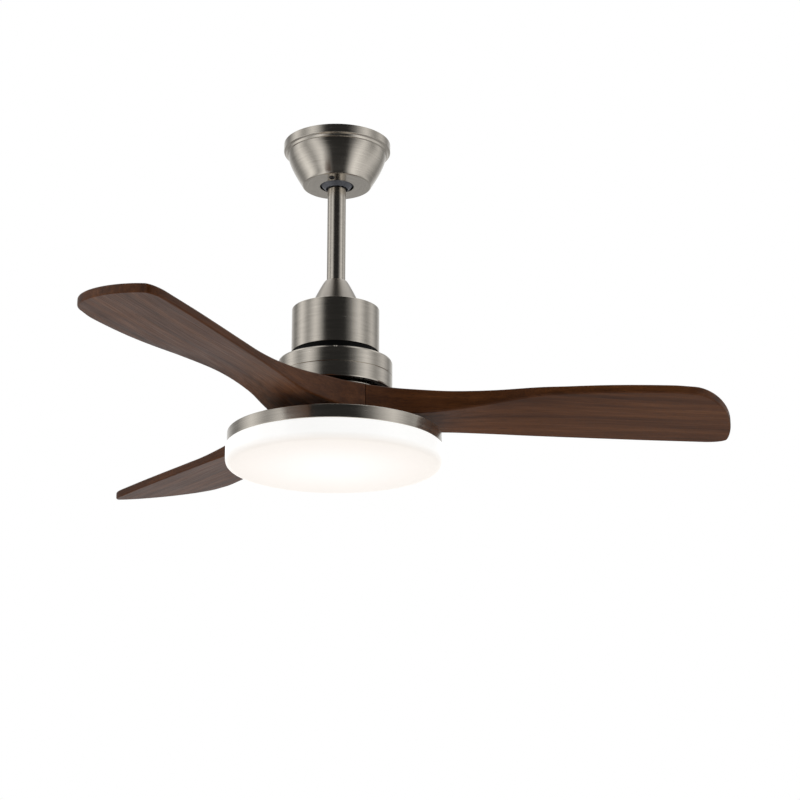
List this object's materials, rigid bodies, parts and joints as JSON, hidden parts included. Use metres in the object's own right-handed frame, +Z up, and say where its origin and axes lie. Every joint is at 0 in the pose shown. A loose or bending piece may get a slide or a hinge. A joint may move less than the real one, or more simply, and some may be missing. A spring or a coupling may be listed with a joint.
{
  "type": "ceiling fan with light",
  "caption": "Ceiling fan with dark wood blades under a short downrod, brushed nickel canopy and motor, and a round opal LED lamp below the hub.",
  "frame": {"origin": "on the fan's axis, on the plane of the ceiling, midway between the two ceiling screw holes", "axes": "+Z is up into the ceiling along the downrod and motor axis; +X is along the line of the two ceiling screw holes"},
  "size_m": [0.8602, 0.951, 0.4576],
  "materials": {
    "nickel_sheet": "brushed nickel on sheet steel, fine streaks round the axis",
    "nickel_cast": "brushed nickel plating on die-cast aluminium",
    "zinc_steel": "zinc-plated steel, satin",
    "bearing_steel": "ground bearing steel",
    "dark_steel": "black oxide",
    "laminations": "stacked electrical steel",
    "magnet": "sintered magnet, nickel flash",
    "ball_grey": "blue-grey powder coat",
    "walnut": "dark walnut, satin lacquer",
    "copper_wire": "enamelled copper wire",
    "black_plastic": "moulded, fine grain",
    "dark_plastic": "moulded component cases",
    "white_plastic": "moulded, fine grain",
    "circuit_board": "solder mask",
    "led_board_white": "white reflective board",
    "black_rubber": "thin sheet",
    "led_chip": "phosphor-coated LED",
    "opal_diffuser": "opal acrylic, lit from inside"
  },
  "bodies": {
    "ceiling": {"ceiling_bracket": "zinc_steel", "ball_socket": "dark_steel", "canopy": "nickel_sheet", "canopy_screws": "dark_steel", "receiver_box": "white_plastic", "terminal_block": "white_plastic"},
    "ball_seat": {"ball_liner": "white_plastic"},
    "drop": {"hanger_ball": "ball_grey", "ball_pin": "zinc_steel", "ball_set_screw": "dark_steel", "downrod": "nickel_sheet", "coupling_cover": "nickel_sheet", "motor_yoke": "zinc_steel", "yoke_pin": "zinc_steel", "yoke_pin_clip": "zinc_steel", "yoke_set_screws": "dark_steel", "housing_shell": "nickel_sheet", "housing_screws": "dark_steel", "housing_base": "black_plastic", "driver_standoffs": "zinc_steel", "driver_board": "circuit_board", "driver_components": "dark_plastic", "motor_shaft": "zinc_steel", "shaft_lock_nut": "zinc_steel", "bearing_inner_races": "bearing_steel", "stator_core": "laminations", "stator_windings": "copper_wire", "light_bracket": "zinc_steel", "shaft_end_nut": "zinc_steel", "light_bracket_screws": "dark_steel", "lamp_pan": "nickel_sheet", "led_driver": "white_plastic", "led_standoffs": "zinc_steel", "led_board": "led_board_white", "led_chips": "led_chip"},
    "rotor": {"rotor_upper_bell": "nickel_cast", "rotor_lower_bell": "nickel_cast", "bell_screws": "dark_steel", "rotor_magnets": "magnet", "bearing_outer_races": "bearing_steel", "bearing_balls": "bearing_steel", "hub_plate": "nickel_cast", "hub_screws": "dark_steel", "blade_gasket": "black_rubber", "blade_1": "walnut", "blade_2": "walnut", "blade_3": "walnut", "clamp_plate": "dark_steel", "blade_screws": "zinc_steel"},
    "diffuser": {"diffuser": "opal_diffuser"}
  },
  "joints": [
    {"name": "swing_x", "type": "hinge", "parent": "ceiling", "child": "ball_seat", "pos_m": [0, 0, -0.044], "axis": [1, 0, 0], "range_deg": [-15, 15]},
    {"name": "swing_y", "type": "hinge", "parent": "ball_seat", "child": "drop", "pos_m": [0, 0, -0.044], "axis": [0, 1, 0], "range_deg": [-15, 15]},
    {"name": "fan_spin", "type": "hinge", "parent": "drop", "child": "rotor", "pos_m": [0, 0, -0.334], "axis": [0, 0, 1], "continuous": true},
    {"name": "diffuser_twist", "type": "hinge", "parent": "drop", "child": "diffuser", "pos_m": [0, 0, -0.43], "axis": [0, 0, 1], "range_deg": [0, 30]}
  ]
}
